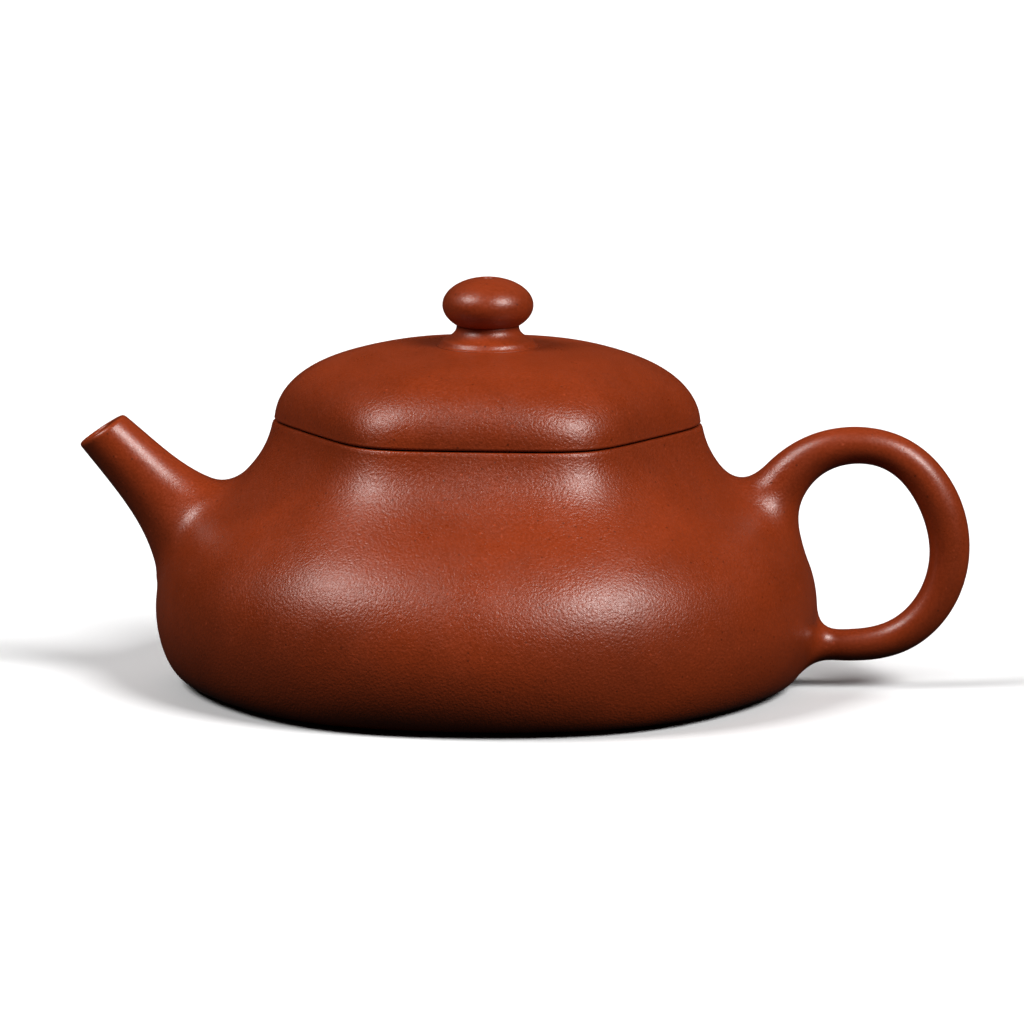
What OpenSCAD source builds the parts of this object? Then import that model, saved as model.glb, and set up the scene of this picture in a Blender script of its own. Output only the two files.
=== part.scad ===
// Clay teapot with a softly rounded hexagonal plan.
// Origin: centre of the resting plane. +Z is up, the spout points to -X, the handle is on +X.
// "Corner radius" below always means the distance from the axis to a corner of the hexagon.

/* [Body] */
// Corner radius at the belly, the widest place
belly_r = 59.4; // [57:0.1:61]
// Height of the widest place
belly_h = 13.6; // [12.5:0.1:15]
// Corner radius where the side turns into the flat bottom
base_r = 53.8; // [52:0.1:55]
// Corner radius of the body at the rim
rim_r = 38.5; // [38:0.1:39.5]
// Height of the rim
rim_h = 47.4; // [46.5:0.1:48.5]
// Thickness of the body wall
wall = 2.8; // [2.2:0.1:3.2]
// How far the belly curve runs up before it turns in
belly_pull = 19.4; // [17:0.1:21]
// How far the neck curve runs down before it turns out
neck_pull = 14.4; // [13:0.1:16]

/* [Plan] */
// Sharpness of the hexagon at the foot (4 is a circle)
base_sharp = 5.4; // [4.5:0.1:8]
// Sharpness of the hexagon at the belly
belly_sharp = 4.6; // [4.2:0.1:8]
// Sharpness of the hexagon at the rim
rim_sharp = 11; // [8:0.5:14]

/* [Base] */
// Thickness of the bottom slab
base_t = 3.2; // [2.6:0.1:4]
// Corner radius of the bottom slab
slab_r = 50.6; // [49.5:0.1:51]
// Thickness of the foot plate added under the slab
foot_h = 1; // [0.6:0.1:1.4]
// Corner radius of the foot plate
foot_r = 47; // [45:0.5:49]

/* [Mouth and lid] */
// Inner corner radius of the mouth
mouth_r = 33.5; // [32:0.1:34]
// Corner radius of the lid
lid_r = 38.3; // [37.8:0.1:38.5]
// Height of the lid above the rim
lid_h = 13.9; // [12:0.1:15]
// Thickness of the lid at its top
lid_t = 2.6; // [2.2:0.1:3.2]
// Visible gap between the lid and the rim
lid_gap = 0.25; // [0.2:0.05:0.4]
// Clearance of the flange inside the mouth
flange_fit = 0.35; // [0.3:0.05:0.5]
// Wall thickness of the flange
flange_t = 2.5; // [2:0.1:3]
// Depth of the flange below the rim
flange_h = 6; // [4:0.5:8]

/* [Knob] */
// Radius of the bead
knob_r = 8.15; // [7:0.05:9]
// Height of the bead from its middle to its top
knob_half_h = 5; // [4.5:0.1:5.5]
// Height of the bead's middle above the lid
knob_rise = 7.35; // [7:0.05:8]
// Radius of the neck under the bead
neck_r = 5.6; // [5:0.1:6.2]
// Radius of the flared foot of the knob
collar_r = 8.9; // [8:0.1:9.4]
// Diameter of the vent hole
vent_d = 2; // [1.8:0.1:2.4]

/* [Spout] */
// Reach of the spout tip from the axis
tip_x = 69.4; // [68:0.1:71]
// Height of the middle of the spout tip
tip_z = 45.1; // [44:0.1:46.5]
// Radius of the spout at the tip
tip_r = 4.7; // [4.4:0.1:5]
// Steady widening of the spout from tip to root
spout_taper = 2; // [1.7:0.1:2.3]
// Extra flare at the root
spout_flare = 4.7; // [4.3:0.1:5.2]
// Radius of the channel at the tip
channel_r = 2.8; // [2.4:0.1:3]
// Angle of the mouth of the spout above the horizontal
tip_cut = 34; // [28:1:40]

/* [Strainer] */
// Diameter of the opening in the wall behind the spout
port_d = 14; // [13:0.5:14.5]
// Thickness of the strainer's clay
strainer_t = 1.4; // [1.2:0.1:1.8]
// Diameter of the strainer holes
strainer_hole_d = 1.8; // [1.4:0.1:2]

/* [Hidden] */

clay = [0.56, 0.22, 0.12];
dark_clay = [0.47, 0.17, 0.09];
seg = 72;                      // facets round the body
tube_seg = 28;                 // facets round the spout and the handle
low_steps = 7;                 // rings from the bottom to the belly
up_steps = 16;                 // rings from the belly to the rim
join = low_steps + 10;         // ring where the shoulder slab stands on the wall
under_ring = low_steps + up_steps - 1;   // ring where the mouth ring begins

low_bulge = 1.83;              // exponent of the turned-in lower edge
neck_lean = 2.35;              // how much wider the neck curve's lower handle stands
seam_z = rim_h + lid_gap;
flange_r = mouth_r - flange_fit;
lid_seat_r = 9.5;              // flat place on the lid for the knob
lid_curve = 0.571;             // exponent of the lid's dome
lid_sharp_top = 5;
lid_steps = 14;
lid_ceiling_r = 6;             // where the inside of the dome turns flat
lid_edge = 0.4;                // worn lower edge of the lid
rim_edge = 0.3;                // worn edges of the rim
ledge_in = 0.6;                // bevel where the inside of the wall meets the bottom slab
lid_top_z = rim_h + lid_h;
knob_z = lid_top_z + knob_rise;
bead_cut = knob_half_h * sqrt(1 - pow(neck_r / knob_r, 2));
collar_top = knob_z - bead_cut;
collar_lip = 0.6;              // height of the step at the edge of the flared foot
knob_steps = 20;
collar_steps = 10;

// The spout's middle line, as a Bezier curve from the tip to the root, in X and Z
spout_curve = [[-tip_x, tip_z], [-tip_x + 4.3, tip_z - 4.1], [-58.4, 33.5], [-51.4, 27]];
root_tilt = 41;                // angle of the root's axis above the horizontal
spout_steps = 14;
flare_power = 4.6;             // how late the flare at the root begins
channel_taper = 1.6;
channel_flare = 2.8;

// Middle of the wall opening behind the spout, and how the strainer's collar stands in it
port = [-52.7, 0, 27.55];
port_depth = 2;
collar_depth = 2.1;
// Rows of strainer holes: [angle from the middle, number of holes]
strainer_rows = [[0, 1], [32, 6], [62, 12]];

// Control points of the handle's middle line and radius, from the upper root to the lower: [x, z, radius]
handle_path = [[48, 27.9, 6.1], [53.4, 39.2, 4.1], [61.2, 44.1, 3.4], [70.1, 44.4, 3.2],
               [76.9, 40.8, 3.5], [81.8, 33.5, 3.8], [83.6, 24.9, 3.6], [81.5, 16.5, 3.4],
               [76.2, 10.2, 3.2], [68.8, 7.5, 2.9], [57.3, 8, 2.7]];
handle_steps = 5;              // rings to each control point of the handle

// ---- plan and profile ----

// Distance to the outline of a rounded hexagon at angle a, as a share of its corner radius
function lobes(a, p) = [for (k = [0:5]) pow(max(0, cos(a - 30 - 60 * k)), p)];
function reach(a, p) = pow(lobes(a, p) * [1, 1, 1, 1, 1, 1], -1 / p);
function plan(a, p) = reach(a, p) / reach(0, p);
function ring(s) = [for (i = [0:seg - 1]) let (a = 360 * i / seg, r = s[0] * plan(a, s[2]))
                    [r * cos(a), r * sin(a), s[1]]];
function outline(r, p) = [for (q = ring([r, 0, p])) [q[0], q[1]]];

function mix(a, b, t) = a + (b - a) * t;
function bezier(c, t) = pow(1 - t, 3) * c[0] + 3 * t * pow(1 - t, 2) * c[1]
                        + 3 * t * t * (1 - t) * c[2] + pow(t, 3) * c[3];

// Outer side of the body: rings of [corner radius, height, sharpness] from the bottom to the rim.
// The sharpness eases in on both sides of the belly, so that no crease shows there.
function low_side(t) =
    let (h = 1 - cos(90 * t))
    [mix(base_r, belly_r, pow(1 - pow(1 - h, low_bulge), 1 / low_bulge)),
     mix(foot_h, belly_h, h), mix(belly_sharp, base_sharp, pow(1 - h, 2))];
side_curve = [[belly_r, belly_h], [belly_r, belly_h + belly_pull],
              [rim_r + neck_lean, rim_h - neck_pull], [rim_r, rim_h]];
function up_side(t) =
    let (q = bezier(side_curve, t))
    [q[0], q[1], mix(belly_sharp, rim_sharp, pow((q[1] - belly_h) / (rim_h - belly_h), 2))];
side = [for (i = [0:low_steps + up_steps])
        i <= low_steps ? low_side(i / low_steps) : up_side((i - low_steps) / up_steps)];

// The same ring moved inwards by the wall thickness
function inset(i) =
    let (d = [side[i + 1][0] - side[i - 1][0], side[i + 1][1] - side[i - 1][1]], n = wall / norm(d))
    [side[i][0] - d[1] * n, side[i][1] + d[0] * n, side[i][2]];

// ---- solids of revolution with the hexagonal plan ----

// Two triangles of the band between ring j and ring k of a stack with m points to a ring
function band(j, k, i, m) =
    let (a = j * m + i, b = j * m + (i + 1) % m, c = k * m + (i + 1) % m, d = k * m + i)
    [[a, c, b], [a, d, c]];

// A closed loop of rings, up the outside and down the inside
module hollow(loop) {
    n = len(loop);
    polyhedron(points = [for (s = loop) each ring(s)],
               faces = [for (j = [0:n - 1], i = [0:seg - 1]) each band(j, (j + 1) % n, i, seg)],
               convexity = 6);
}

// A stack of rings closed by flat ends
module stack(rings, m) {
    n = len(rings);
    polyhedron(points = [for (r = rings) each r],
               faces = concat([[for (i = [0:m - 1]) i]],
                              [[for (i = [m - 1:-1:0]) (n - 1) * m + i]],
                              [for (j = [0:n - 2], i = [0:m - 1]) each band(j, j + 1, i, m)]),
               convexity = 6);
}

module hexagon_plate(r, p, z, h) {
    translate([0, 0, z]) linear_extrude(h) polygon(outline(r, p));
}

module hexagon_ring(r_out, r_in, p, z, h) {
    translate([0, 0, z]) linear_extrude(h) difference() {
        polygon(outline(r_out, p));
        polygon(outline(r_in, p));
    }
}

// Everything inside the outer surface of the body
module body_envelope() {
    stack([for (s = side) ring(s)], seg);
}

// ---- tubes in the XZ plane ----

// A ring of radius r round [x, z]; slope is the direction of the line up the ring's plane
function hoop(x, z, r, slope) = [for (i = [0:tube_seg - 1]) let (a = 360 * i / tube_seg)
                                 [x + r * cos(a) * cos(slope), r * sin(a), z + r * cos(a) * sin(slope)]];

// ---- body ----

module belly_wall() {
    slab_top = foot_h + base_t;
    outside = [for (i = [0:join]) side[i]];
    inside = [for (i = [join:-1:1]) let (s = inset(i)) if (s[1] > slab_top + ledge_in) s];
    lowest = inside[len(inside) - 1];
    ledge = [[lowest[0] - ledge_in, slab_top, base_sharp], [slab_r, slab_top, base_sharp],
             [slab_r, foot_h, base_sharp]];
    color(clay) difference() {
        hollow(concat(outside, inside, ledge));
        at_port() cylinder(d = port_d, h = 6 * wall, center = true, $fn = 64);
    }
}

module shoulder_slab() {
    outside = [for (i = [join:under_ring]) side[i]];
    inside = [for (i = [under_ring - 1:-1:join]) inset(i)];
    top_in = [inset(under_ring)[0], side[under_ring][1], side[under_ring][2]];
    color(clay) hollow(concat(outside, [top_in], inside));
}

module mouth_ring() {
    low = side[under_ring];
    worn_h = rim_h - rim_edge;
    color(clay) hollow([low, [rim_r, worn_h, rim_sharp], [rim_r - rim_edge, rim_h, rim_sharp],
                        [mouth_r + rim_edge, rim_h, rim_sharp], [mouth_r, worn_h, rim_sharp],
                        [mouth_r, low[1], rim_sharp]]);
}

module base_slab() {
    color(dark_clay) hexagon_plate(slab_r, base_sharp, foot_h, base_t);
}

module foot_plate() {
    color(dark_clay) hexagon_plate(foot_r, base_sharp, 0, foot_h);
}

// ---- spout and strainer ----

// Stations along the spout; the ring planes lean from the cut of the tip to the root's own tilt
function spout_hoop(t, r) =
    let (c = bezier(spout_curve, t))
    hoop(c[0], c[1], r, mix(tip_cut, 90 - root_tilt, min(1, 2 * t)));
function spout_r(t) = tip_r + spout_taper * t + spout_flare * pow(t, flare_power);
function spout_bore_r(t) = channel_r + channel_taper * t + channel_flare * pow(t, flare_power);

module spout() {
    n = spout_steps + 1;
    outside = [for (i = [spout_steps:-1:0]) spout_hoop(i / spout_steps, spout_r(i / spout_steps))];
    inside = [for (i = [0:spout_steps]) spout_hoop(i / spout_steps, spout_bore_r(i / spout_steps))];
    color(clay) difference() {
        polyhedron(points = [for (r = concat(outside, inside)) each r],
                   faces = [for (j = [0:2 * n - 1], i = [0:tube_seg - 1])
                            each band(j, (j + 1) % (2 * n), i, tube_seg)],
                   convexity = 6);
        body_envelope();
    }
}

// Puts things at the wall opening, with +Z pointing out along the spout
module at_port() {
    translate(port) rotate([0, root_tilt - 90, 0]) children();
}

// A domed cup, round side down, with a straight collar that fills the wall opening
module strainer_cup() {
    r = port_d / 2;
    arc = [for (i = [0:12]) let (a = 90 * i / 12) [sin(a), -cos(a)]];
    rotate_extrude($fn = 64)
        polygon(concat(r * arc, [[r, collar_depth], [r - strainer_t, collar_depth]],
                       [for (i = [12:-1:0]) (r - strainer_t) * arc[i]]));
}

module strainer() {
    color(dark_clay) at_port() translate([0, 0, -port_depth]) difference() {
        strainer_cup();
        for (row = strainer_rows, k = [0:row[1] - 1])
            rotate([0, 0, 360 * k / row[1]]) rotate([0, 180 - row[0], 0])
                translate([0, 0, port_d / 4]) cylinder(d = strainer_hole_d, h = port_d / 2, $fn = 24);
    }
}

// ---- handle ----

// Smooth curve that the control points pull on (a uniform cubic B-spline)
function pulled(a, b, c, d, t) =
    (pow(1 - t, 3) * a + (3 * pow(t, 3) - 6 * t * t + 4) * b
     + (3 * t + 3 * t * t - 3 * pow(t, 3) + 1) * c + pow(t, 3) * d) / 6;

module handle() {
    last = len(handle_path) - 1;
    ends = [2 * handle_path[0] - handle_path[1], 2 * handle_path[last] - handle_path[last - 1]];
    p = concat([ends[0]], handle_path, [ends[1]]);
    line = [for (i = [0:last - 1], k = [0:handle_steps - 1])
            pulled(p[i], p[i + 1], p[i + 2], p[i + 3], k / handle_steps), handle_path[last]];
    n = len(line) - 1;
    rings = [for (i = [0:n])
             let (d = line[min(i + 1, n)] - line[max(i - 1, 0)], s = line[i])
             hoop(s[0], s[1], s[2], atan2(d[1], d[0]) + 90)];
    color(clay) difference() {
        stack(rings, tube_seg);
        body_envelope();
    }
}

// ---- lid ----

function dome(r, h, t) = [r * pow(cos(90 * t), lid_curve), rim_h + h * sin(90 * t),
                          mix(rim_sharp, lid_sharp_top, t)];

module lid_dome() {
    stub = vent_d / 2 - 0.2;   // the vent is drilled through this
    flange_in = flange_r - flange_t;
    inner_h = lid_h - lid_t;
    outside = [for (i = [1:lid_steps]) let (s = dome(lid_r, lid_h, i / lid_steps))
               if (s[0] > lid_seat_r + 0.5) s];
    inside = [for (i = [lid_steps:-1:1]) let (s = dome(flange_in, inner_h, i / lid_steps))
              if (s[0] > lid_ceiling_r) s];
    color(clay) difference() {
        hollow(concat([[lid_r - lid_edge, seam_z, rim_sharp],
                       [lid_r - lid_edge / 4, seam_z + lid_edge, rim_sharp]],
                      outside,
                      [[lid_seat_r, lid_top_z, lid_sharp_top], [stub, lid_top_z, lid_sharp_top],
                       [stub, rim_h + inner_h, lid_sharp_top]],
                      inside,
                      [[flange_in, seam_z, rim_sharp]]));
        vent();
    }
}

module lid_flange() {
    color(dark_clay) hexagon_ring(flange_r, flange_r - flange_t, rim_sharp, rim_h - flange_h,
                                  flange_h + lid_gap);
}

// ---- knob ----

module vent() {
    translate([0, 0, rim_h]) cylinder(d = vent_d, h = 40, $fn = 32);
}

module knob_collar() {
    h = collar_top - lid_top_z;
    flare_r = collar_r - collar_lip - neck_r;
    flare = [for (i = [1:collar_steps]) let (a = 90 * i / collar_steps)
             [neck_r + flare_r * (1 - sin(a)), mix(collar_lip, h, 1 - cos(a))]];
    color(clay) difference() {
        translate([0, 0, lid_top_z]) rotate_extrude($fn = 96)
            polygon(concat([[0, 0], [collar_r, 0], [collar_r - 0.2, 0.75 * collar_lip]], flare, [[0, h]]));
        vent();
    }
}

module knob() {
    low = -asin(bead_cut / knob_half_h);
    bead = [for (i = [0:knob_steps]) let (a = mix(low, 90, i / knob_steps))
            [knob_r * cos(a), knob_half_h * sin(a)]];
    color(clay) difference() {
        translate([0, 0, knob_z]) rotate_extrude($fn = 96) polygon(concat([[0, -bead_cut]], bead));
        vent();
    }
}

belly_wall();
shoulder_slab();
mouth_ring();
base_slab();
foot_plate();
spout();
strainer();
handle();
lid_dome();
lid_flange();
knob_collar();
knob();
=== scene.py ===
"""Looks of the clay teapot: a fired skin with hidden joints, the lid, the knob, the clay and the studio.

Lengths are in millimetres until a mesh is made, and metres from there on. The frame is the CAD
frame: +Z up from the resting plane, spout towards -X, handle on +X.
"""

import math

import bpy
import numpy as np
from mathutils import Matrix, Quaternion, Vector


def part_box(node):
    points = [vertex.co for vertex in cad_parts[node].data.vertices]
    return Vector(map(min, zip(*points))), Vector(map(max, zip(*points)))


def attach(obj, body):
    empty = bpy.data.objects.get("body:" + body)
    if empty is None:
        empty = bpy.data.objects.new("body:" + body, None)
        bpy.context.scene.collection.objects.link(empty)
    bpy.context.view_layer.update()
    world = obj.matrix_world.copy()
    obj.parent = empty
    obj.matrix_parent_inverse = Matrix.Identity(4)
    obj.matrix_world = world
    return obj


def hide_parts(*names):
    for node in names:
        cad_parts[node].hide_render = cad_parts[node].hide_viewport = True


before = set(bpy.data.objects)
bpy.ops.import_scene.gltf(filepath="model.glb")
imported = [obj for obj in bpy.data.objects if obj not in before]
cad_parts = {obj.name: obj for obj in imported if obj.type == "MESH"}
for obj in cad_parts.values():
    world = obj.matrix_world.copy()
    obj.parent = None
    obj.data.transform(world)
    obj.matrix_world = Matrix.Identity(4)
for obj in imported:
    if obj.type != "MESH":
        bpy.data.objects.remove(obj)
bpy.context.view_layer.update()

MM = 0.001


def node_box(node):
    """Lowest and highest corner of a CAD node in millimetres."""
    low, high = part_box(node)
    return np.array(low) / MM, np.array(high) / MM


# ---- driving dimensions, from the frame where it shows them ----

BELLY_R = node_box("belly_wall")[1][0]          # corner radius at the belly
RIM_H = node_box("mouth_ring")[1][2]            # height of the rim
FOOT_H = node_box("foot_plate")[1][2]           # underside of the body
FOOT_R = node_box("foot_plate")[1][0]           # corner radius of the foot
FLOOR_H = node_box("base_slab")[1][2]           # floor of the chamber
LID_R = node_box("lid_dome")[1][0]              # corner radius of the lid
SEAM_H = node_box("lid_dome")[0][2]             # underside of the lid
LID_TOP = node_box("lid_dome")[1][2]
FLANGE_R = node_box("lid_flange")[1][0]
FLANGE_LOW = node_box("lid_flange")[0][2]
KNOB_R = node_box("knob")[1][0]
KNOB_TOP = node_box("knob")[1][2]

BELLY_H = 13.6                                  # height of the widest place
BASE_R = 53.8                                   # corner radius of the underside
RIM_R = 38.5
RIM_EDGE = 0.35                                 # how far the rim's edges are rounded
RING_T = 2.6                                    # thickness of the mouth ring
MOUTH_R = 33.5
WALL = 2.8
FLANGE_T = 2.5
LID_T = 2.6
VENT_R = 1.0
NECK_R = 5.6
BEAD_HALF_H = 5.0
TURNS = 216                                     # points round a turned piece

# Sharpness of the hexagonal plan: 4 is a circle, 11 a hexagon with softly rounded corners
BASE_SHARP = 5.4
BELLY_SHARP = 4.6
RIM_SHARP = 11.0
LID_SHARP_TOP = 5.0


# ---- plan and profile of the body ----

def plan(angle, sharp):
    """Outline of a rounded hexagon at an angle, as a share of its corner radius."""
    def reach(a):
        total = sum(np.maximum(0, np.cos(a - math.radians(30 + 60 * k))) ** sharp for k in range(6))
        return total ** (-1 / sharp)
    return reach(angle) / reach(np.zeros_like(angle))


def bezier(points, t):
    """Points on a cubic Bezier curve at the parameters t."""
    a, b, c, d = (np.array(p, float) for p in points)
    t = np.asarray(t, float)[:, None]
    return a * (1 - t) ** 3 + 3 * b * t * (1 - t) ** 2 + 3 * c * t * t * (1 - t) + d * t ** 3


def body_profile():
    """Outer side of the body as points (corner radius, height), from the underside to the rim."""
    bulge = 1.83
    belly_pull = 19.4
    neck_pull = 14.4
    neck_lean = 2.35
    h = 1 - np.cos(np.linspace(0, math.pi / 2, 60))
    r = BASE_R + (BELLY_R - BASE_R) * (1 - (1 - h) ** bulge) ** (1 / bulge)
    low = np.stack([r, FOOT_H + (BELLY_H - FOOT_H) * h], 1)
    curve = [(BELLY_R, BELLY_H), (BELLY_R, BELLY_H + belly_pull),
             (RIM_R + neck_lean, RIM_H - neck_pull), (RIM_R, RIM_H)]
    return np.concatenate([low, bezier(curve, np.linspace(0, 1, 160))[1:]])


def sharpness(z):
    """Sharpness of the plan at a height; it eases in on both sides of the soft belly."""
    up = np.clip((z - BELLY_H) / (RIM_H - BELLY_H), 0, 1)
    down = np.clip((BELLY_H - z) / (BELLY_H - FOOT_H), 0, 1)
    return BELLY_SHARP + (RIM_SHARP - BELLY_SHARP) * up ** 2 + (BASE_SHARP - BELLY_SHARP) * down ** 2


def arc(centre, radius, start, end, count=8):
    """Points on a round edge, with angles in degrees."""
    a = np.radians(np.linspace(start, end, count))
    return np.stack([centre[0] + radius * np.cos(a), centre[1] + radius * np.sin(a)], 1)


# ---- signed distance to a closed outline in the (radius, height) half plane ----

class Outline:
    """A closed outline sampled on a fine grid, so that many points can be measured quickly."""
    STEP = 0.2

    def __init__(self, points, low_r=-1.0, high_r=92.0, low_z=-3.0, high_z=60.0):
        self.low = np.array([low_r, low_z])
        nr = int((high_r - low_r) / self.STEP) + 1
        nz = int((high_z - low_z) / self.STEP) + 1
        r = low_r + self.STEP * np.arange(nr)
        z = low_z + self.STEP * np.arange(nz)
        grid = np.stack(np.meshgrid(r, z, indexing="ij"), -1).reshape(-1, 2)
        ends = np.roll(points, -1, 0)
        best = np.full(len(grid), 1e9)
        inside = np.zeros(len(grid), bool)
        for a, b in zip(points, ends):
            ab = b - a
            if ab @ ab < 1e-12:
                continue
            t = np.clip((grid - a) @ ab / (ab @ ab), 0, 1)
            gap = grid - a - t[:, None] * ab
            best = np.minimum(best, (gap ** 2).sum(1))
            if a[1] != b[1]:
                crosses = (a[1] > grid[:, 1]) != (b[1] > grid[:, 1])
                at = a[0] + (grid[:, 1] - a[1]) * ab[0] / ab[1]
                inside ^= crosses & (grid[:, 0] < at)
        self.table = (np.sqrt(best) * np.where(inside, -1, 1)).reshape(nr, nz)

    def __call__(self, r, z):
        u = (r - self.low[0]) / self.STEP
        v = (z - self.low[1]) / self.STEP
        u = np.clip(u, 0, self.table.shape[0] - 1.001)
        v = np.clip(v, 0, self.table.shape[1] - 1.001)
        i, j = u.astype(int), v.astype(int)
        u, v = u - i, v - j
        t = self.table
        return ((t[i, j] * (1 - u) + t[i + 1, j] * u) * (1 - v)
                + (t[i, j + 1] * (1 - u) + t[i + 1, j + 1] * u) * v)


def soft_min(a, b, k):
    """The lower of two distances, with the corner between them rounded over k."""
    h = np.maximum(k - np.abs(a - b), 0) / k
    return np.minimum(a, b) - h * h * k / 4


def soft_max(a, b, k):
    """The higher of two distances, rounded in the same way."""
    return -soft_min(-a, -b, k)


def ease(z, low, high):
    """0 below low, 1 above high and a smooth step between."""
    t = np.clip((z - low) / (high - low), 0, 1)
    return t * t * (3 - 2 * t)


# ---- middle lines of the spout and the handle, in X and Z ----

class BezierLine:
    """A cubic Bezier curve; its parameter may run a little below 0, past the tip."""
    def __init__(self, points, samples):
        self.points = np.array(points, float)
        self.samples = samples
        self.ends = (samples[0], samples[-1])

    def at(self, t):
        a, b, c, d = self.points
        s = 1 - t[:, None]
        t = t[:, None]
        place = a * s ** 3 + 3 * b * t * s * s + 3 * c * t * t * s + d * t ** 3
        speed = 3 * ((b - a) * s * s + 2 * (c - b) * t * s + (d - c) * t * t)
        turn = 6 * ((c - 2 * b + a) * s + (d - 2 * c + b) * t)
        return place, speed, turn


class SplineLine:
    """A uniform cubic B-spline; its third coordinate is the radius."""
    def __init__(self, points, per_span):
        p = np.array(points, float)
        self.points = np.concatenate([[2 * p[0] - p[1]], p, [2 * p[-1] - p[-2]]])
        self.spans = len(p) - 1
        self.samples = np.linspace(0, self.spans, self.spans * per_span + 1)
        self.ends = (0, self.spans)

    def at(self, u):
        i = np.clip(u.astype(int), 0, self.spans - 1)
        t = (u - i)[:, None]
        a, b, c, d = (self.points[i + k] for k in range(4))
        s = 1 - t
        place = (s ** 3 * a + (3 * t ** 3 - 6 * t * t + 4) * b
                 + (3 * s ** 3 - 6 * s * s + 4) * c + t ** 3 * d) / 6
        speed = (-s * s * a + (3 * t * t - 4 * t) * b - (3 * s * s - 4 * s) * c + t * t * d) / 2
        turn = s * a + (3 * t - 2) * b + (3 * s - 2) * c + t * d
        return place, speed, turn


def nearest(line, p):
    """Parameter of the nearest place on a line for each point, and the distance to it."""
    places = line.at(line.samples)[0]
    t = np.empty(len(p))
    batch = 50000
    least_bend = 0.3          # keeps a step short where the line turns hard
    for i in range(0, len(p), batch):
        q = p[i:i + batch]
        gap = (q[:, None, 0] - places[None, :, 0]) ** 2 + (q[:, None, 2] - places[None, :, 1]) ** 2
        t[i:i + batch] = line.samples[gap.argmin(1)]
    for _ in range(3):
        c, v, w = (a[:, :2] for a in line.at(t))
        gap = c - p[:, [0, 2]]
        slope = (gap * v).sum(1)
        speed = (v * v).sum(1)
        bend = np.maximum(speed + (gap * w).sum(1), least_bend * speed)
        t = np.clip(t - slope / bend, *line.ends)
    gap = line.at(t)[0][:, :2] - p[:, [0, 2]]
    return t, np.sqrt((gap ** 2).sum(1) + p[:, 1] ** 2)


SPOUT_LINE = BezierLine([(-69.4, 45.1), (-65.1, 41.0), (-58.4, 33.5), (-51.4, 27.0)],
                        np.linspace(-0.2, 1, 60))
SPOUT_LENGTH = 26.0       # along the line, roughly
SPOUT_TIP_R = 4.7
SPOUT_TAPER = 2.0         # even growth of the radius from tip to root
SPOUT_FLARE = 4.7         # further growth, close to the root
CHANNEL_TIP_R = 2.8
CHANNEL_TAPER = 1.6
CHANNEL_FLARE = 2.5
FLARE_POWER = 4.6
TIP_CUT = math.radians(34)
TIP_PAST = 0.15           # how far the cut lies past the end of the line
TIP_EDGE = 0.7            # how far the worn edge of the tip is rounded
HANDLE_LINE = SplineLine([(48, 27.9, 6.1), (53.4, 39.2, 4.1), (61.2, 44.1, 3.4), (70.1, 44.4, 3.2),
                          (76.9, 40.8, 3.5), (81.8, 33.5, 3.8), (83.6, 24.9, 3.6), (81.5, 16.5, 3.4),
                          (76.2, 10.2, 3.2), (68.8, 7.5, 2.9), (57.3, 8.0, 2.7)], 10)


def spout_fields(p):
    """Distance to the outside of the spout and to its channel."""
    t, d = nearest(SPOUT_LINE, p)
    late = np.maximum(t, 0) ** FLARE_POWER
    radius = SPOUT_TIP_R + SPOUT_TAPER * t + SPOUT_FLARE * late
    channel = CHANNEL_TIP_R + CHANNEL_TAPER * t + CHANNEL_FLARE * late
    late_growth = SPOUT_FLARE * FLARE_POWER * np.maximum(t, 0) ** (FLARE_POWER - 1)
    widening = (SPOUT_TAPER + late_growth) / SPOUT_LENGTH
    outside = (d - radius) / np.sqrt(1 + widening ** 2)
    tip = SPOUT_LINE.points[0]
    beyond = (p[:, 2] - tip[1]) * math.cos(TIP_CUT) - (p[:, 0] - tip[0]) * math.sin(TIP_CUT)
    return soft_max(outside, beyond - TIP_PAST, TIP_EDGE), d - channel


def handle_field(p):
    """Distance to the outside of the handle."""
    t, d = nearest(HANDLE_LINE, p)
    return d - HANDLE_LINE.at(t)[0][:, 2]


# ---- the pot's skin as one field: body, spout and handle joined softly, hollow inside ----

PAST_AXIS = -8.0          # outlines end here, so that the axis is no edge of theirs
OPEN_H = 56.0             # the mouth is cut up to here, well above the rim

# The spout and the handle are measured only near them: X below or above, |Y| below, Z above
SPOUT_ZONE = (-36, 22, 8)
HANDLE_ZONE = (38, 18)

# How widely they flow into the body: low down, high up, and the two heights between
SPOUT_ROOT = (1.4, 3.0, 20, 34)
HANDLE_ROOT = (4.4, 6.5, 16, 28)
CHANNEL_ROOT = 1.0
INNER_EDGE = 0.4          # rounding wherever the hollow meets the outside


def body_outline():
    """The outside of the body, with the rim's outer edge rounded."""
    side = body_profile()
    side = side[side[:, 1] < RIM_H - RIM_EDGE]
    top = arc((RIM_R - RIM_EDGE, RIM_H - RIM_EDGE), RIM_EDGE, 0, 90)
    return np.concatenate([[(PAST_AXIS, FOOT_H)], side, top, [(PAST_AXIS, RIM_H)]])


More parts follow.
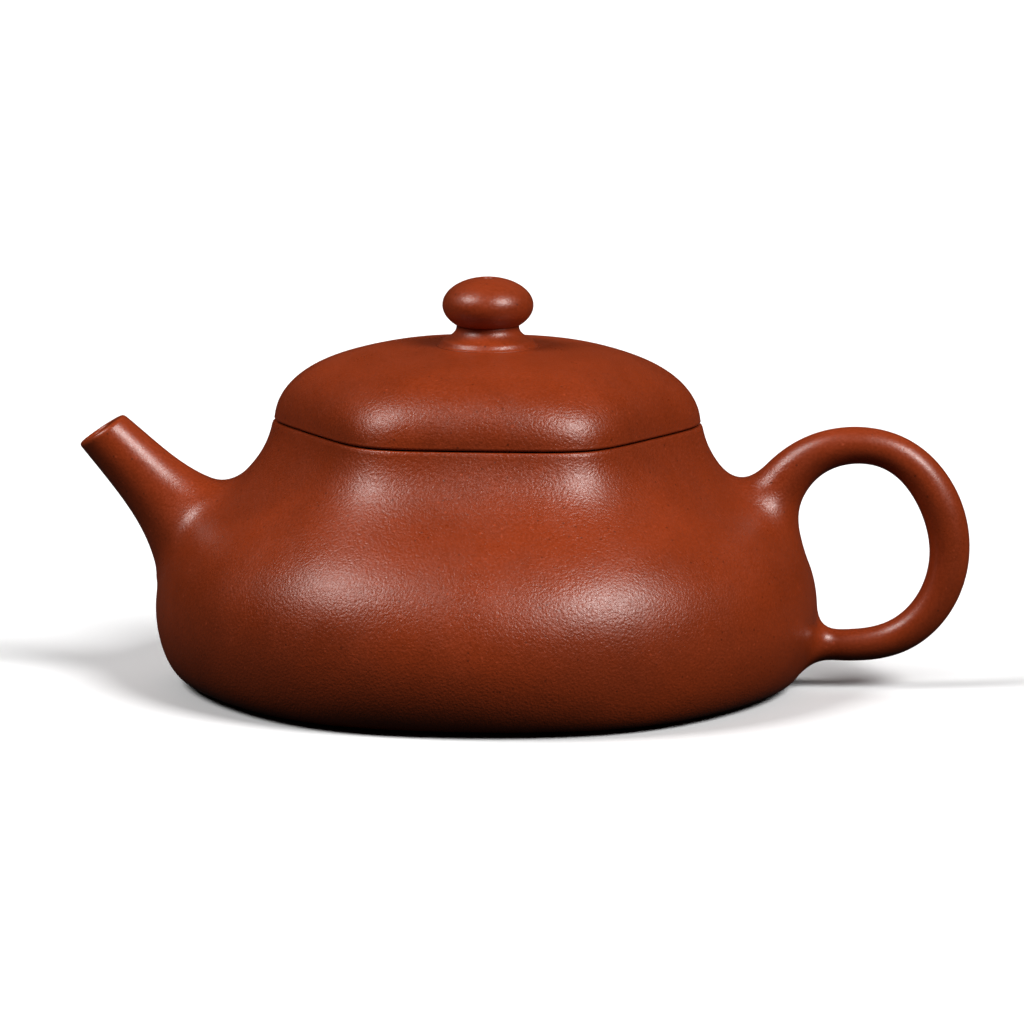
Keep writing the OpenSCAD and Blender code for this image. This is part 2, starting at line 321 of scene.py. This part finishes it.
def cavity_outline():
    """The chamber, the neck and the mouth, open upwards."""
    side = body_profile()
    run = np.gradient(side, axis=0)
    run /= np.linalg.norm(run, axis=1)[:, None]
    inner = side + WALL * np.stack([-run[:, 1], run[:, 0]], 1)
    ring_low = RIM_H - RING_T
    cove = 1.6                # height of the soft corner between the floor and the wall
    corner = 1.2              # size of the one between the neck and the ring
    inner = inner[(inner[:, 1] > FLOOR_H) & (inner[:, 1] < ring_low - corner)]
    low_r = inner[0, 0]
    floor = [(PAST_AXIS, FLOOR_H), (low_r - 2.5, FLOOR_H), (low_r - 0.8, FLOOR_H + 0.5)]
    under_ring = [(inner[-1, 0] - corner, ring_low), (MOUTH_R + 0.4, ring_low + 0.1),
                  (MOUTH_R, ring_low + 0.5)]
    flare = arc((MOUTH_R + RIM_EDGE, RIM_H - RIM_EDGE), RIM_EDGE, 180, 90)
    above = [(MOUTH_R + RIM_EDGE, OPEN_H), (PAST_AXIS, OPEN_H)]
    return np.concatenate([floor, inner[inner[:, 1] > FLOOR_H + cove], under_ring, flare, above])


BODY = Outline(body_outline())
CAVITY = Outline(cavity_outline())


def root_width(root, z):
    """How widely a part flows into the body at a height."""
    low, high, start, end = root
    return low + (high - low) * ease(z, start, end)


def pot_field(p):
    """Signed distance to the clay of the pot, in millimetres; p is n points."""
    angle = np.arctan2(p[:, 1], p[:, 0])
    r = np.hypot(p[:, 0], p[:, 1]) / plan(angle, sharpness(p[:, 2]))
    outside = BODY(r, p[:, 2])
    inside = CAVITY(r, p[:, 2])
    x, y, z = SPOUT_ZONE
    near = (p[:, 0] < x) & (np.abs(p[:, 1]) < y) & (p[:, 2] > z)
    spout, channel = spout_fields(p[near])
    outside[near] = soft_min(outside[near], spout, root_width(SPOUT_ROOT, p[near, 2]))
    inside[near] = soft_min(inside[near], channel, CHANNEL_ROOT)
    x, y = HANDLE_ZONE
    near = (p[:, 0] > x) & (np.abs(p[:, 1]) < y)
    handle = handle_field(p[near])
    outside[near] = soft_min(outside[near], handle, root_width(HANDLE_ROOT, p[near, 2]))
    return soft_max(outside, -inside, INNER_EDGE)


def slope_of(field, p, step=0.02):
    """Slope of a field at each point, from its values a step to both sides."""
    g = np.empty_like(p)
    for k in range(3):
        e = np.zeros(3)
        e[k] = step
        g[:, k] = (field(p + e) - field(p - e)) / (2 * step)
    return g


def steps(*stretches):
    """Grid values from (start, end, step) stretches that follow each other."""
    values = [stretches[0][0]]
    for start, end, step in stretches:
        n = max(1, round((end - start) / step))
        values.extend(start + (end - start) * (k + 1) / n for k in range(n))
    return np.array(values)


def grid_lines():
    """Angles, radii and heights of the grid: fine at the roots, the mouth and the spout's tip."""
    fine, coarse = math.radians(0.52), math.radians(2.25)
    root = math.radians(11.5)
    angles = steps((-root, root, fine), (root, math.pi - root, coarse),
                   (math.pi - root, math.pi + root, fine),
                   (math.pi + root, 2 * math.pi - root, coarse))[:-1]
    radii = steps((0, 28, 2), (28, 33, 1), (33, 34.2, 0.15), (34.2, 37.8, 0.9), (37.8, 38.8, 0.15),
                  (38.8, 64, 0.75), (64, 74, 0.42), (74, 90, 0.65))
    heights = steps((0.3, 39, 0.95), (39, 46.6, 0.42), (46.6, 47.6, 0.15), (47.6, 48.8, 0.4))
    return angles, radii, heights


def grid_place(angle, radius, height):
    """A grid point in space: the radius is stretched with the plan of the body."""
    reach = radius * plan(angle, sharpness(height))
    return np.stack([reach * np.cos(angle), reach * np.sin(angle), height], -1)


CORNERS = [(i, j, k) for i in (0, 1) for j in (0, 1) for k in (0, 1)]


def crossed_cells(inside):
    """Cells with clay at some corners only; the first axis goes round and closes on itself."""
    size = inside.shape
    count = np.zeros((size[0], size[1] - 1, size[2] - 1), int)
    for i, j, k in CORNERS:
        count += np.roll(inside, -i, 0)[:, j:size[1] - 1 + j, k:size[2] - 1 + k]
    return np.argwhere((count > 0) & (count < 8))


def cell_points(cells, lines, value):
    """One point for each cell: the middle of where its edges cross the surface."""
    places, values = {}, {}
    for c in CORNERS:
        at = cells + c
        at[:, 0] %= value.shape[0]
        places[c] = grid_place(*(line[at[:, k]] for k, line in enumerate(lines)))
        values[c] = value[tuple(at.T)]
    total = np.zeros((len(cells), 3))
    hits = np.zeros(len(cells))
    for c in CORNERS:
        for axis in range(3):
            if c[axis]:
                continue
            e = tuple(1 if k == axis else c[k] for k in range(3))
            cross = (values[c] < 0) != (values[e] < 0)
            t = np.where(cross, values[c] / np.where(cross, values[c] - values[e], 1), 0)[:, None]
            total += np.where(cross[:, None], places[c] + t * (places[e] - places[c]), 0)
            hits += cross
    return total / hits[:, None]


AROUND = [((0, -1, -1), (0, 0, -1), (0, 0, 0), (0, -1, 0)),
          ((-1, 0, -1), (-1, 0, 0), (0, 0, 0), (0, 0, -1)),
          ((-1, -1, 0), (0, -1, 0), (0, 0, 0), (-1, 0, 0))]


def net_faces(inside, number):
    """A quad for each grid edge that crosses the surface, joining the four cells around it."""
    size = inside.shape
    faces = []
    for axis in range(3):
        edges = np.argwhere(inside != np.roll(inside, -1, axis))
        for k in (1, 2):
            least = 0 if k == axis else 1
            edges = edges[(edges[:, k] < size[k] - 1) & (edges[:, k] >= least)]
        quads = []
        for c in AROUND[axis]:
            at = edges + c
            at[:, 0] %= size[0]
            quads.append(number[tuple(at.T)])
        quads = np.stack(quads, 1)
        turned = inside[tuple(edges.T)]
        quads[turned] = quads[turned][:, ::-1]
        faces.append(quads)
    return np.concatenate(faces)


def settle(field, verts, rounds=3):
    """Moves points onto the surface along the slope of its field."""
    for _ in range(rounds):
        g = slope_of(field, verts)
        verts = verts - field(verts)[:, None] * g / np.maximum((g ** 2).sum(1), 1e-6)[:, None]
    return verts


def face_ends(faces):
    """The two ends of every side of every quad."""
    return np.concatenate([faces[:, [k, (k + 1) % 4]] for k in range(4)])


def even_out(field, verts, faces, rounds=4):
    """Spreads points evenly along the surface, without leaving it; those at the axis stay."""
    ends = face_ends(faces)
    axis_r = 3.0
    fixed = np.hypot(verts[:, 0], verts[:, 1]) < axis_r
    for _ in range(rounds):
        total = np.zeros_like(verts)
        count = np.zeros(len(verts))
        for a, b in ((0, 1), (1, 0)):
            for k in range(3):
                total[:, k] += np.bincount(ends[:, a], verts[ends[:, b], k], len(verts))
            count += np.bincount(ends[:, a], minlength=len(verts))
        pull = total / count[:, None] - verts
        normal = slope_of(field, verts)
        normal /= np.linalg.norm(normal, axis=1)[:, None]
        pull -= (pull * normal).sum(1)[:, None] * normal
        pull[fixed] = 0
        verts = settle(field, verts + 0.5 * pull, 1)
    return verts


def closed_poles(verts, faces):
    """Fans that close the floor and the underside at the axis."""
    ends = face_ends(faces)
    _, at, count = np.unique(np.sort(ends, 1), axis=0, return_index=True, return_counts=True)
    open_ends = ends[at[count == 1]]
    heights = verts[open_ends[:, 0], 2]
    middle = (heights.min() + heights.max()) / 2
    fans = []
    poles = []
    for rim in (open_ends[heights < middle], open_ends[heights >= middle]):
        pole = len(verts) + len(poles)
        poles.append((0, 0, verts[rim[:, 0], 2].mean()))
        fans += [(b, a, pole) for a, b in rim.tolist()]
    return np.concatenate([verts, poles]), faces.tolist() + fans


def pot_skin():
    """Points and faces of the pot: one closed skin of quads over the field."""
    lines = grid_lines()
    shape = tuple(len(line) for line in lines)
    grid = np.stack(np.meshgrid(*lines, indexing="ij"), -1).reshape(-1, 3)
    value = np.concatenate([pot_field(grid_place(*part.T)) for part in np.array_split(grid, 8)])
    value = value.reshape(shape)
    cells = crossed_cells(value < 0)
    number = np.full((shape[0], shape[1] - 1, shape[2] - 1), -1)
    number[tuple(cells.T)] = np.arange(len(cells))
    verts = cell_points(cells, lines, value)
    faces = net_faces(value < 0, number)
    verts = even_out(pot_field, settle(pot_field, verts), faces)
    return closed_poles(settle(pot_field, verts), faces)


# ---- meshes ----

def piece(name, verts, faces, material, sharp_deg=None):
    """A smooth mesh object from points in millimetres."""
    mesh = bpy.data.meshes.new(name)
    mesh.from_pydata((np.asarray(verts) * MM).tolist(), [], [list(f) for f in faces])
    mesh.materials.append(material)
    mesh.shade_smooth()
    if sharp_deg:
        mesh.set_sharp_from_angle(angle=math.radians(sharp_deg))
    mesh.update()
    obj = bpy.data.objects.new(name, mesh)
    bpy.context.scene.collection.objects.link(obj)
    return obj


def fillet(points, radii, count=5):
    """A closed outline with round corners: a radius for each point, 0 for a corner left sharp."""
    out = []
    n = len(points)
    for k, (p, radius) in enumerate(zip(points, radii)):
        p = np.array(p, float)
        if not radius:
            out.append(p)
            continue
        a = np.array(points[k - 1], float) - p
        b = np.array(points[(k + 1) % n], float) - p
        a /= np.linalg.norm(a)
        b /= np.linalg.norm(b)
        half = math.acos(np.clip(a @ b, -1, 1)) / 2
        reach = radius / math.tan(half)
        middle = p + (a + b) / np.linalg.norm(a + b) * radius / math.sin(half)
        first = p + a * reach - middle
        last = p + b * reach - middle
        turn = math.acos(np.clip(first @ last / radius ** 2, -1, 1))
        for t in np.linspace(0, 1, count):
            blend = first * math.sin((1 - t) * turn) + last * math.sin(t * turn)
            out.append(middle + blend / math.sin(turn))
    return np.array(out)


def lathe(outline, sharp, turns=TURNS):
    """Turns a closed outline of (corner radius, height) round the axis, on the hexagonal plan.

    sharp gives the sharpness of the plan for each radius and height; 4 is a true circle.
    """
    angles = np.linspace(0, 2 * math.pi, turns, endpoint=False)
    r, z = np.array(outline, float).T
    a, r2 = np.meshgrid(angles, r, indexing="ij")
    z2 = np.broadcast_to(z, a.shape)
    reach = r2 * plan(a, sharp(r2, z2))
    verts = np.stack([reach * np.cos(a), reach * np.sin(a), z2], -1).reshape(-1, 3)
    n = len(r)
    i, j = np.meshgrid(np.arange(turns), np.arange(n), indexing="ij")
    near, far = i * n, (i + 1) % turns * n
    faces = np.stack([near + j, far + j, far + (j + 1) % n, near + (j + 1) % n], -1)
    return verts, faces.reshape(-1, 4)


def even_plan(sharp):
    """A plan that has the same sharpness everywhere."""
    return lambda r, z: np.full(r.shape, float(sharp))


def foot_pad(material):
    """The flat pad that the pot stands on, with a worn lower edge and flat faces."""
    top = FOOT_H + 0.1        # a little into the skin above it
    flat_r = FOOT_R - 1.5     # the flat faces begin inside the worn edge
    outline = fillet([(flat_r, 0), (FOOT_R, 0), (FOOT_R, top), (flat_r, top)], [0, 0.4, 0, 0])
    verts, faces = lathe(outline, even_plan(BASE_SHARP))
    n = len(outline)
    band = faces.reshape(TURNS, n, 4)[:, :-1].reshape(-1, 4)
    low = np.arange(TURNS) * n
    return piece("foot_pad", verts, [*band, low[::-1], low + n - 1], material)


# ---- the lid and the knob ----

SEAT_R = 9.5              # round seat of the knob on the lid
SEAT_EASE = 8.0           # how far outside it the plan turns from round to hexagonal
LID_POWER = 0.571         # how square the dome's side is
ROUND = 4                 # the sharpness of a true circle


def lid_sharp(r, z):
    """Crisp at the edge of the lid, soft towards its top."""
    up = np.clip((z - SEAM_H) / (LID_TOP - SEAM_H), 0, 1)
    outwards = np.clip((r - SEAT_R) / SEAT_EASE, 0, 1)
    return ROUND + (RIM_SHARP + (LID_SHARP_TOP - RIM_SHARP) * up - ROUND) * outwards


def dome_curve(radius, height, low_deg, high_deg, count):
    """Points on the dome from its edge upwards, as (corner radius, height)."""
    t = np.radians(np.linspace(low_deg, high_deg, count))
    return np.stack([radius * np.cos(t) ** LID_POWER, RIM_H + height * np.sin(t)], 1)


def lid_shell(material):
    """The domed plate, hollow below, with the vent through it and a worn lower edge."""
    height = LID_TOP - RIM_H
    edge = 0.45
    flat_r = 5.0              # the top is flat inside this, under the knob
    outer = dome_curve(LID_R, height, 3.4, 86.5, 46)
    inner = dome_curve(LID_R - LID_T, height - LID_T, 3, 86, 30)[::-1]
    bottom = arc((LID_R - edge, SEAM_H + edge), edge, -90, 0, 6)
    vent = [(VENT_R + 0.3, LID_TOP - 0.05), (VENT_R, LID_TOP - 0.35), (VENT_R, LID_TOP - LID_T)]
    outline = np.concatenate([bottom, outer[outer[:, 1] > SEAM_H + edge],
                              [(flat_r, LID_TOP)], vent, inner[inner[:, 1] > SEAM_H + 0.4],
                              [(LID_R - LID_T - 0.2, SEAM_H + 0.2), (LID_R - LID_T, SEAM_H)]])
    return piece("lid_shell", *lathe(outline, lid_sharp), material, sharp_deg=50)


def lid_tongue(material):
    """The ring under the lid that drops into the mouth, with worn edges."""
    inside = FLANGE_R - FLANGE_T
    top = SEAM_H + 0.6        # a little into the lid
    outline = fillet([(inside, top), (inside, FLANGE_LOW), (FLANGE_R, FLANGE_LOW), (FLANGE_R, top)],
                     [0, 0.7, 0.9, 0])
    return piece("lid_tongue", *lathe(outline, even_plan(RIM_SHARP)), material)


def knob_outline():
    """From the vent's mouth on top, down the outside to the lid, and back up the vent."""
    middle = KNOB_TOP - BEAD_HALF_H
    waist_z = LID_TOP + 3.5
    foot_z = LID_TOP + 1.15
    bead = arc((0, 0), 1, 80.5, -52, 40) * (KNOB_R, BEAD_HALF_H) + (0, middle)
    low = bead[-1]
    neck = bezier([low, low + (-0.75, -0.45), (NECK_R, waist_z + 0.8), (NECK_R, waist_z)],
                  np.linspace(0, 1, 8))
    flare = bezier([(NECK_R, waist_z), (NECK_R, waist_z - 0.9), (6.2, foot_z + 0.75), (7.9, foot_z)],
                   np.linspace(0, 1, 12))
    foot = bezier([(7.9, foot_z), (8.5, foot_z - 0.28), (8.3, LID_TOP + 0.2), (9.2, LID_TOP - 0.05)],
                  np.linspace(0, 1, 10))
    vent = [(VENT_R, LID_TOP - 0.05), (VENT_R, KNOB_TOP - 0.6), (VENT_R + 0.06, KNOB_TOP - 0.32),
            (VENT_R + 0.22, KNOB_TOP - 0.16)]
    return np.concatenate([bead, neck[1:], flare[1:], foot[1:], vent])


def knob(material):
    """The bead, its neck and its flared foot in one, with the vent through it."""
    return piece("knob_bead", *lathe(knob_outline(), even_plan(ROUND), 96), material)


# ---- clay ----

class Nodes:
    """Short calls for building a material's nodes."""
    def __init__(self, name):
        self.material = bpy.data.materials.new(name)
        self.material.use_nodes = True
        self.tree = self.material.node_tree
        self.shader = self.tree.nodes["Principled BSDF"]

    def add(self, kind, values=None, **settings):
        node = self.tree.nodes.new(kind)
        for key, value in settings.items():
            setattr(node, key, value)
        for key, value in (values or {}).items():
            node.inputs[key].default_value = value
        return node

    def link(self, out, into):
        self.tree.links.new(out, into)

    def noise(self, coords, scale, detail=3.0, rough=0.5, distortion=0.0):
        node = self.add("ShaderNodeTexNoise", {"Scale": scale, "Detail": detail, "Roughness": rough,
                                               "Distortion": distortion})
        self.link(coords, node.inputs["Vector"])
        return node.outputs["Fac"]

    def ramp(self, value, stops):
        node = self.add("ShaderNodeValToRGB")
        while len(node.color_ramp.elements) < len(stops):
            node.color_ramp.elements.new(0.5)
        for element, (at, colour) in zip(node.color_ramp.elements, stops):
            element.position = at
            element.color = (*colour, 1)
        self.link(value, node.inputs["Fac"])
        return node.outputs["Color"]

    def mix(self, share, a, b, blend="MIX"):
        node = self.add("ShaderNodeMix", data_type="RGBA", blend_type=blend)
        for value, key in ((share, 0), (a, 6), (b, 7)):
            if isinstance(value, (float, int)):
                node.inputs[key].default_value = value
            elif isinstance(value, tuple):
                node.inputs[key].default_value = (*value, 1)
            else:
                self.link(value, node.inputs[key])
        return node.outputs[2]

    def math(self, operation, a, b=0.0):
        node = self.add("ShaderNodeMath", operation=operation)
        for value, key in ((a, 0), (b, 1)):
            if isinstance(value, (float, int)):
                node.inputs[key].default_value = value
            else:
                self.link(value, node.inputs[key])
        return node.outputs[0]

    def noise_colour(self, coords, scale):
        node = self.add("ShaderNodeTexNoise", {"Scale": scale, "Detail": 2.0})
        self.link(coords, node.inputs["Vector"])
        return node.outputs["Color"]

    def grey(self, value):
        node = self.add("ShaderNodeCombineColor")
        for key in range(3):
            self.link(value, node.inputs[key])
        return node.outputs["Color"]

    def remap(self, value, low, high, to_low, to_high):
        node = self.add("ShaderNodeMapRange", {"From Min": low, "From Max": high,
                                               "To Min": to_low, "To Max": to_high})
        self.link(value, node.inputs["Value"])
        return node.outputs["Result"]


# The relief fades along X, for the spout and the handle, which are rubbed smoother
SMOOTHED = 0.3            # share of it that is left
SMOOTH_FROM = 0.046       # metres from the middle
SMOOTH_TO = 0.058


def clay(name, base, gloss, grain):
    """Fired stoneware: even colour with sparse specks, and a fine wrinkled skin from burnishing.

    base is the mean colour, gloss the mean roughness and grain the depth of the skin in metres.
    """
    n = Nodes(name)
    coords = n.add("ShaderNodeTexCoord").outputs["Object"]
    dark = tuple(0.88 * c for c in base)
    light = tuple(1.1 * c for c in base)

    clouds = n.noise(coords, 55, 4, 0.6, 0.4)
    colour = n.ramp(clouds, [(0.3, dark), (0.5, base), (0.7, light)])
    grit = n.noise(coords, 2200, 2, 0.6)
    colour = n.mix(1.0, colour, n.grey(n.remap(grit, 0.3, 0.7, 0.88, 1.12)), "MULTIPLY")
    dark_speck = tuple(0.45 * c for c in base)
    pale_speck = tuple(1.4 * c + 0.01 for c in base)
    for scale, rarity, tint in ((900, 0.93, dark_speck), (800, 0.92, pale_speck)):
        cells = n.add("ShaderNodeTexVoronoi", {"Scale": scale, "Randomness": 1.0})
        n.link(coords, cells.inputs["Vector"])
        chosen = n.add("ShaderNodeSeparateColor")
        n.link(cells.outputs["Color"], chosen.inputs[0])
        rare = n.math("GREATER_THAN", chosen.outputs[0], rarity)
        near = n.remap(cells.outputs["Distance"], 0.12, 0.24, 0.75, 0.0)
        colour = n.mix(n.math("MULTIPLY", rare, near), colour, tint)

    pointed = n.add("ShaderNodeNewGeometry").outputs["Pointiness"]
    colour = n.mix(n.remap(pointed, 0.515, 0.56, 0.0, 0.3), colour, light)
    n.link(colour, n.shader.inputs["Base Color"])

    patches = n.noise(coords, 120, 3, 0.6)
    rough = n.remap(patches, 0.3, 0.7, gloss - 0.04, gloss + 0.05)
    rough = n.math("ADD", rough, n.remap(grit, 0.35, 0.7, -0.03, 0.06))
    n.link(rough, n.shader.inputs["Roughness"])
    n.shader.inputs["Specular IOR Level"].default_value = 0.62

    wrinkles = n.add("ShaderNodeTexVoronoi", {"Scale": 2100.0, "Randomness": 1.0}, feature="SMOOTH_F1")
    wrinkles.inputs["Smoothness"].default_value = 0.6
    bent = n.mix(0.0004, coords, n.noise_colour(coords, 1300), "ADD")
    n.link(bent, wrinkles.inputs["Vector"])
    peel = n.noise(coords, 2200, 4, 0.6, 0.6)
    broad = n.noise(coords, 190, 2, 0.5)
    height = n.math("MULTIPLY", wrinkles.outputs["Distance"], 0.55)
    height = n.math("ADD", height, peel)
    height = n.math("ADD", height, n.math("MULTIPLY", broad, 0.9))
    bump = n.add("ShaderNodeBump", {"Distance": grain})
    across = n.add("ShaderNodeSeparateXYZ")
    n.link(coords, across.inputs[0])
    away = n.math("ABSOLUTE", across.outputs["X"])
    n.link(n.remap(away, SMOOTH_FROM, SMOOTH_TO, 1.0, SMOOTHED), bump.inputs["Strength"])
    n.link(height, bump.inputs["Height"])
    n.link(bump.outputs["Normal"], n.shader.inputs["Normal"])
    return n.material


def plain_floor():
    """White paper that throws little light back up, as if the table round it were dark."""
    n = Nodes("floor_paper")
    seen = n.add("ShaderNodeLightPath").outputs["Is Camera Ray"]
    n.link(n.mix(seen, (0.02, 0.02, 0.02), (0.88, 0.88, 0.88)), n.shader.inputs["Base Color"])
    n.shader.inputs["Roughness"].default_value = 0.9
    n.shader.inputs["Specular IOR Level"].default_value = 0.1
    half = 6.0                # metres
    corners = [(-half, -half, 0), (half, -half, 0), (half, half, 0), (-half, half, 0)]
    mesh = bpy.data.meshes.new("floor")
    mesh.from_pydata(corners, [], [(0, 1, 2, 3)])
    mesh.materials.append(n.material)
    floor = bpy.data.objects.new("floor", mesh)
    bpy.context.scene.collection.objects.link(floor)


# ---- camera and light ----

YAW = math.radians(-2.861)         # how far the pot is turned from square to the camera
ELEVATION = math.radians(9.466)
ROLL = math.radians(0.309)
DISTANCE = 1.4775                  # from the axis of the pot, along the view
AIM = (0.0045, 0.0297)             # the middle of the picture, right of and above the pot's foot
LENS = 288.6


def photo_camera():
    """The photograph's own view: far away, with a long lens, a little above the horizon."""
    c, s = math.cos(YAW), math.sin(YAW)
    right = Vector((c, -s, 0))
    up = Vector((s * math.sin(ELEVATION), c * math.sin(ELEVATION), math.cos(ELEVATION)))
    ahead = Vector((s * math.cos(ELEVATION), c * math.cos(ELEVATION), -math.sin(ELEVATION)))
    foot = Vector((0, 0, FOOT_H * MM))
    data = bpy.data.cameras.new("camera")
    data.lens = LENS
    data.sensor_width = 36
    data.clip_start = 0.05
    data.clip_end = 30
    camera = bpy.data.objects.new("camera", data)
    camera.location = foot + AIM[0] * right + AIM[1] * up - DISTANCE * ahead
    camera.rotation_mode = "QUATERNION"
    turn = Matrix((right, up, -ahead)).transposed().to_quaternion()
    camera.rotation_quaternion = turn @ Quaternion((0, 0, 1), ROLL)
    bpy.context.scene.collection.objects.link(camera)
    bpy.context.scene.camera = camera


def soft_key(name, direction, strength, width_deg):
    """A wide, distant light, so that it falls evenly on the pot and the whole floor."""
    data = bpy.data.lights.new(name, "SUN")
    data.energy = strength
    data.angle = math.radians(width_deg)
    light = bpy.data.objects.new(name, data)
    light.rotation_mode = "QUATERNION"
    light.rotation_quaternion = Vector(direction).to_track_quat("Z", "Y")
    bpy.context.scene.collection.objects.link(light)
    return light


def studio():
    """Two wide keys, left and right, and a matt fill from behind."""
    soft_key("key_left", (-0.59, -0.27, 0.76), 2.2, 28)
    soft_key("key_right", (0.57, -0.45, 0.68), 3.35, 28)
    fill = soft_key("back_fill", (0.0, 0.96, 0.28), 1.5, 70)
    fill.visible_glossy = False
    world = bpy.data.worlds.new("studio")
    world.use_nodes = True
    world.node_tree.nodes["Background"].inputs["Color"].default_value = (1, 1, 1, 1)
    world.node_tree.nodes["Background"].inputs["Strength"].default_value = 0.01
    bpy.context.scene.world = world
    view = bpy.context.scene.view_settings
    view.view_transform = "Standard"
    view.gamma = 0.87


# ---- the scene ----

def main():
    """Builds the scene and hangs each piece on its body."""
    photo_camera()
    studio()
    plain_floor()
    burnished = clay("burnished_clay", (0.268, 0.042, 0.0080), 0.33, 0.000078)
    polished = clay("polished_clay", (0.268, 0.042, 0.0080), 0.37, 0.00004)
    plain = clay("plain_clay", (0.24, 0.040, 0.010), 0.58, 0.00014)
    bpy.data.objects["strainer"].material_slots[0].material = plain

    pot = piece("pot_skin", *pot_skin(), burnished)
    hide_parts("belly_wall", "shoulder_slab", "mouth_ring", "base_slab", "spout", "handle")
    foot = foot_pad(plain)
    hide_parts("foot_plate")
    for obj in (pot, foot):
        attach(obj, "pot")

    shell = lid_shell(burnished)
    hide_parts("lid_dome")
    tongue = lid_tongue(plain)
    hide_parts("lid_flange")
    bead = knob(polished)
    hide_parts("knob", "knob_collar")
    for obj in (shell, tongue, bead):
        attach(obj, "lid")


main()
